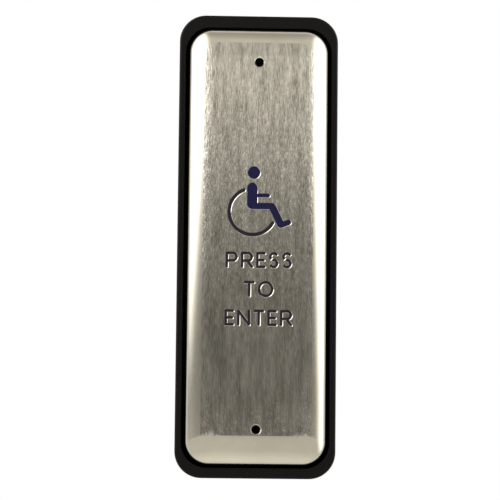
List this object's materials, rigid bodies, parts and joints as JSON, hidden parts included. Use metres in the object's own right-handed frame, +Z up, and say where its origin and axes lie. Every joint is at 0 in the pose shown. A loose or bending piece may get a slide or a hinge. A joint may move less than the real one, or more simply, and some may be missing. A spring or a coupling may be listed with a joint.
{
  "type": "door opener push plate",
  "caption": "Narrow wall push plate for an automatic door: pillowed brushed stainless plate sliding in a slim black surface box, with a sprung carrier and a lever switch inside.",
  "frame": {"origin": "on the wall, behind the middle of the plate", "axes": "+Y into the wall, so the plate faces -Y; +Z up; +X to the right of someone facing the plate"},
  "size_m": [0.0444, 0.03, 0.1289],
  "materials": {
    "black_moulding": "satin black moulding",
    "gasket_rubber": "closed-cell black rubber",
    "grommet_rubber": "moulded black rubber",
    "bumper_rubber": "dark grey rubber",
    "face_stainless": "vertical brushed grain",
    "blue_inlay": "dark blue paint fill",
    "carrier_moulding": "glass-filled nylon",
    "bush_acetal": "natural acetal",
    "zinc_sheet": "zinc-plated sheet steel",
    "post_steel": "ground stainless",
    "fastener_steel": "zinc-plated steel",
    "insert_brass": "knurled brass",
    "spring_steel": "music wire",
    "switch_moulding": "black phenolic",
    "plunger_moulding": "red acetal",
    "contact_copper": "copper alloy strip",
    "contact_silver": "silver alloy rivet"
  },
  "bodies": {
    "housing": {"surface_box": "black_moulding", "wall_gasket": "gasket_rubber", "cable_grommet": "grommet_rubber", "travel_bumpers": "bumper_rubber", "base_plate": "zinc_sheet", "switch_bracket": "zinc_sheet", "guide_posts": "post_steel", "stop_washers": "post_steel", "base_plate_screws": "fastener_steel", "retaining_screws": "fastener_steel", "switch_screws": "fastener_steel", "switch_nuts": "fastener_steel", "bracket_screws": "fastener_steel", "lever_pin": "fastener_steel", "threaded_inserts": "insert_brass", "upper_return_spring": "spring_steel", "lower_return_spring": "spring_steel", "switch_case": "switch_moulding", "switch_cover": "switch_moulding", "common_terminal": "contact_copper", "normally_open_terminal": "contact_copper", "normally_closed_terminal": "contact_copper"},
    "push_face": {"face_plate": "face_stainless", "pictogram_fill": "blue_inlay", "legend_fill": "blue_inlay", "push_carrier": "carrier_moulding", "guide_bushes": "bush_acetal", "plate_studs": "post_steel", "stud_washers": "fastener_steel", "stud_nuts": "fastener_steel", "striker_screw": "fastener_steel", "striker_locknut": "fastener_steel"},
    "lever": {"switch_lever": "spring_steel"},
    "plunger": {"switch_plunger": "plunger_moulding"},
    "blade": {"contact_blade": "contact_copper", "moving_contact": "contact_silver"}
  },
  "joints": [
    {"name": "face_press", "type": "slide", "parent": "housing", "child": "push_face", "axis": [0, 1, 0], "range_m": [0, 0.0025], "stiffness_N_per_m": 1200, "springref_m": -0.0025, "deforming": ["upper_return_spring", "lower_return_spring"]},
    {"name": "lever_swing", "type": "hinge", "parent": "housing", "child": "lever", "pos_m": [0, -0.0192, -0.008], "axis": [-1, 0, 0], "range_deg": [0, 10.45]},
    {"name": "plunger_press", "type": "slide", "parent": "housing", "child": "plunger", "axis": [0, 1, 0], "range_m": [0, 0.00082]},
    {"name": "blade_swing", "type": "hinge", "parent": "housing", "child": "blade", "pos_m": [0, -0.01535, 0.0075], "axis": [1, 0, 0], "range_deg": [0, 4.5]}
  ],
  "couplings": [
    {"joint": "lever_swing", "follows": "face_press", "rad_per_m": 72.6},
    {"joint": "plunger_press", "follows": "face_press", "ratio": 0.32},
    {"joint": "blade_swing", "follows": "face_press", "rad_per_m": 31.2}
  ]
}
